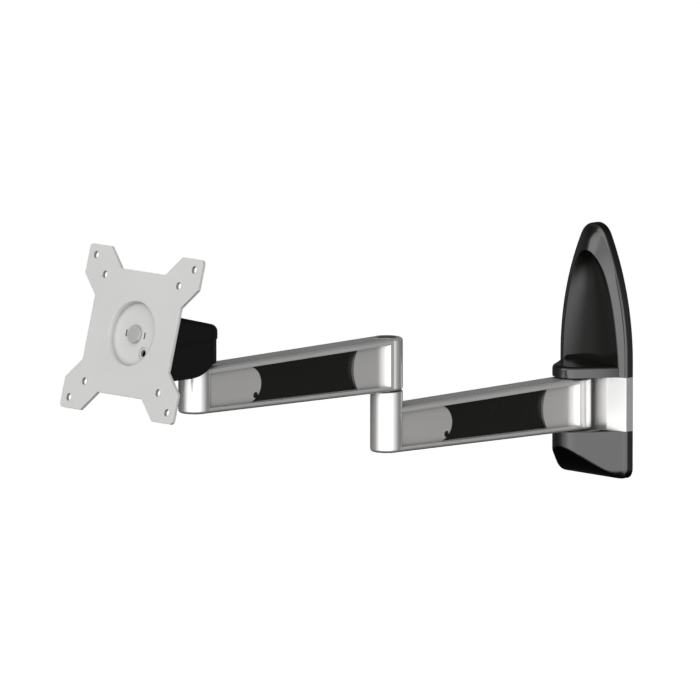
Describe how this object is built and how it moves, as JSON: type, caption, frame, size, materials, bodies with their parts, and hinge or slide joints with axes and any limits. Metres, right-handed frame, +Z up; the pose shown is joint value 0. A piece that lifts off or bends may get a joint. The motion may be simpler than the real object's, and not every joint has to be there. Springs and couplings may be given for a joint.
{
  "type": "full motion tv wall mount",
  "caption": "Folding wall mount for a flat screen: two polished arms on upright pivots, a tilting head under a black hood, a square screen plate and gloss black wall covers.",
  "frame": {"origin": "on the wall plane, on the mount's mid-plane, level with the middle of the wall pivot", "axes": "+Z up, +Y into the wall, +X to the right when facing the wall; the arms are stored pointing straight out along -Y"},
  "size_m": [0.115, 0.4594, 0.1998],
  "materials": {
    "cast_plate": "zinc-plated steel, satin",
    "cover_black": "gloss black moulded plastic",
    "cover_chrome": "bright chrome plating",
    "arm_aluminium": "polished cast aluminium, clear coated",
    "cable_cover_black": "gloss black moulded plastic",
    "bolt_steel": "zinc-plated steel",
    "bush_nylon": "natural nylon",
    "washer_black": "black acetal",
    "plug_black": "matt black plastic",
    "cap_aluminium": "satin aluminium",
    "hood_black": "satin black moulded plastic",
    "knuckle_black": "black powder coat on steel",
    "plate_silver": "satin silver powder coat on steel",
    "rivet_steel": "satin nickel-plated steel"
  },
  "bodies": {
    "wall_bracket": {"wall_plate": "cast_plate", "upper_cover": "cover_black", "lower_cover": "cover_black", "centre_cover": "cover_chrome", "wall_pivot_pin": "bolt_steel", "wall_pivot_nut": "bolt_steel", "wall_pivot_washer": "bolt_steel", "wall_friction_washers": "washer_black"},
    "lower_arm": {"lower_arm": "arm_aluminium", "lower_arm_cable_cover_left": "cable_cover_black", "lower_arm_cable_cover_right": "cable_cover_black", "lower_arm_root_bushes": "bush_nylon", "lower_arm_barrel_bushes": "bush_nylon", "elbow_bolt": "bolt_steel", "elbow_nut": "bolt_steel", "elbow_nut_washer": "bolt_steel", "elbow_disc_spring": "bolt_steel", "elbow_friction_washer": "washer_black", "elbow_bottom_plug": "plug_black"},
    "upper_arm": {"upper_arm": "arm_aluminium", "upper_arm_cable_cover_left": "cable_cover_black", "upper_arm_cable_cover_right": "cable_cover_black", "upper_arm_root_bushes": "bush_nylon", "upper_arm_barrel_bushes": "bush_nylon", "elbow_cap": "cap_aluminium", "head_bottom_plug": "plug_black"},
    "head_swivel": {"head_bolt": "bolt_steel", "head_bolt_washer": "bolt_steel", "head_friction_washer": "washer_black", "swivel_knuckle": "knuckle_black", "head_nut": "bolt_steel", "hood_cap": "hood_black", "hood_skirt": "hood_black", "tilt_bolt": "bolt_steel", "tilt_nut": "bolt_steel", "tilt_washers": "bolt_steel", "tilt_friction_washers": "washer_black"},
    "tilt_bracket": {"tilt_bracket": "knuckle_black", "plate_friction_washer": "washer_black", "plate_pivot_bolt": "rivet_steel", "plate_disc_spring": "bolt_steel", "plate_pivot_nut": "bolt_steel"},
    "vesa_plate": {"vesa_plate": "plate_silver"}
  },
  "joints": [
    {"name": "wall_swivel", "type": "hinge", "parent": "wall_bracket", "child": "lower_arm", "pos_m": [0, -0.0234, 0], "axis": [0, 0, 1], "range_deg": [-90, 90]},
    {"name": "elbow_swivel", "type": "hinge", "parent": "lower_arm", "child": "upper_arm", "pos_m": [0, -0.2044, 0.02725], "axis": [0, 0, -1], "range_deg": [-165, 165]},
    {"name": "head_swivel", "type": "hinge", "parent": "upper_arm", "child": "head_swivel", "pos_m": [0, -0.3854, 0.0735], "axis": [0, 0, 1], "range_deg": [-45, 45]},
    {"name": "head_tilt", "type": "hinge", "parent": "head_swivel", "child": "tilt_bracket", "pos_m": [0, -0.4024, 0.08], "axis": [1, 0, 0], "range_deg": [0, 30]},
    {"name": "plate_rotate", "type": "hinge", "parent": "tilt_bracket", "child": "vesa_plate", "pos_m": [0, -0.44104, 0.09035], "axis": [0, -0.9659, 0.2588], "range_deg": [-90, 90]}
  ]
}
